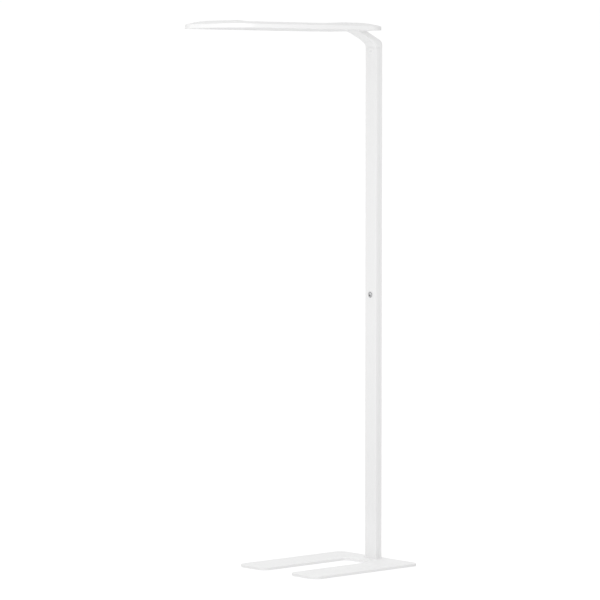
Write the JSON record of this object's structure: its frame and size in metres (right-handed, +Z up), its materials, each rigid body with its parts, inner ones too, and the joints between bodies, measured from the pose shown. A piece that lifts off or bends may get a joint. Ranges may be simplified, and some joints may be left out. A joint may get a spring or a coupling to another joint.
{
  "type": "office floor lamp",
  "caption": "White office floor lamp: U-shaped flat base, slim rectangular post with push button, forward-bent neck and a thin rounded-rectangle light head held over the base.",
  "frame": {"origin": "on the floor, under the centre of the post", "axes": "+Z up; -X towards the prong tips and the light head; Y across the lamp"},
  "size_m": [0.832, 0.424, 1.9565],
  "materials": {
    "base_paint": "fine white powder coat on steel",
    "post_paint": "fine white powder coat on aluminium",
    "head_paint": "fine white powder coat on aluminium",
    "cover_paint": "fine white powder coat on pressed sheet",
    "pad_rubber": "matt rubber",
    "screw_steel": "zinc plated",
    "bracket_steel": "zinc plated sheet",
    "bare_alu": "mill finish",
    "button_metal": "polished",
    "bezel_metal": "polished nickel",
    "spring_steel": "drawn wire",
    "gland_plastic": "moulded, matt",
    "switch_plastic": "moulded, matt",
    "terminal_plastic": "moulded, matt",
    "cable_sheath": "extruded sheath",
    "signal_sheath": "extruded sheath",
    "wire_blue": "extruded insulation",
    "circuit_green": "solder mask",
    "circuit_white": "white solder mask",
    "led_phosphor": "silicone over phosphor",
    "opal_panel": "opal, satin",
    "uplight_panel": "opal, satin",
    "clear_panel": "clear acrylic",
    "reflector_white": "diffuse white film",
    "bezel_plastic": "moulded, satin",
    "sensor_window": "smoked translucent",
    "sensor_can": "nickel plated"
  },
  "bodies": {
    "root": {"base_plate": "base_paint", "base_glides": "pad_rubber", "screw_cover_pad": "pad_rubber", "base_screws": "screw_steel", "post_foot": "bare_alu", "foot_lock_screws": "screw_steel", "lower_post": "post_paint", "upper_post": "post_paint", "post_joiner": "bare_alu", "joiner_screws": "screw_steel", "lower_cable_cover": "post_paint", "upper_cable_cover": "post_paint", "inlet_gland": "gland_plastic", "mains_terminal": "terminal_plastic", "mains_wires": "wire_blue", "led_driver": "bare_alu", "web_screws": "screw_steel", "led_cable": "cable_sheath", "signal_cable": "signal_sheath", "switch_lead": "signal_sheath", "button_bezel": "bezel_metal", "bezel_nut": "screw_steel", "button_spring": "spring_steel", "switch_body": "switch_plastic", "switch_board": "circuit_green", "sensor_bezel": "bezel_plastic", "sensor_lens": "sensor_window", "sensor_element": "sensor_can", "sensor_board": "circuit_green", "neck": "post_paint", "neck_screws": "screw_steel", "neck_bracket": "bracket_steel", "head_screws": "screw_steel", "head_frame": "head_paint", "down_diffuser": "opal_panel", "light_guide": "clear_panel", "reflector_sheet": "reflector_white", "edge_led_boards": "circuit_white", "edge_leds": "led_phosphor", "mid_chassis": "bare_alu", "chassis_screws": "screw_steel", "uplight_boards": "circuit_white", "uplight_leds": "led_phosphor", "uplight_frame": "reflector_white", "uplight_diffuser": "uplight_panel", "terminal_block": "terminal_plastic", "board_jumper": "circuit_white", "top_cover": "cover_paint", "cover_standoffs": "bracket_steel", "cover_screws": "screw_steel"},
    "button": {"button_cap": "button_metal"}
  },
  "joints": [
    {"name": "button_press", "type": "slide", "parent": "root", "child": "button", "axis": [1, 0, 0], "range_m": [0, 0.0015], "stiffness_N_per_m": 900, "springref_m": -0.001, "deforming": ["button_spring"]}
  ]
}
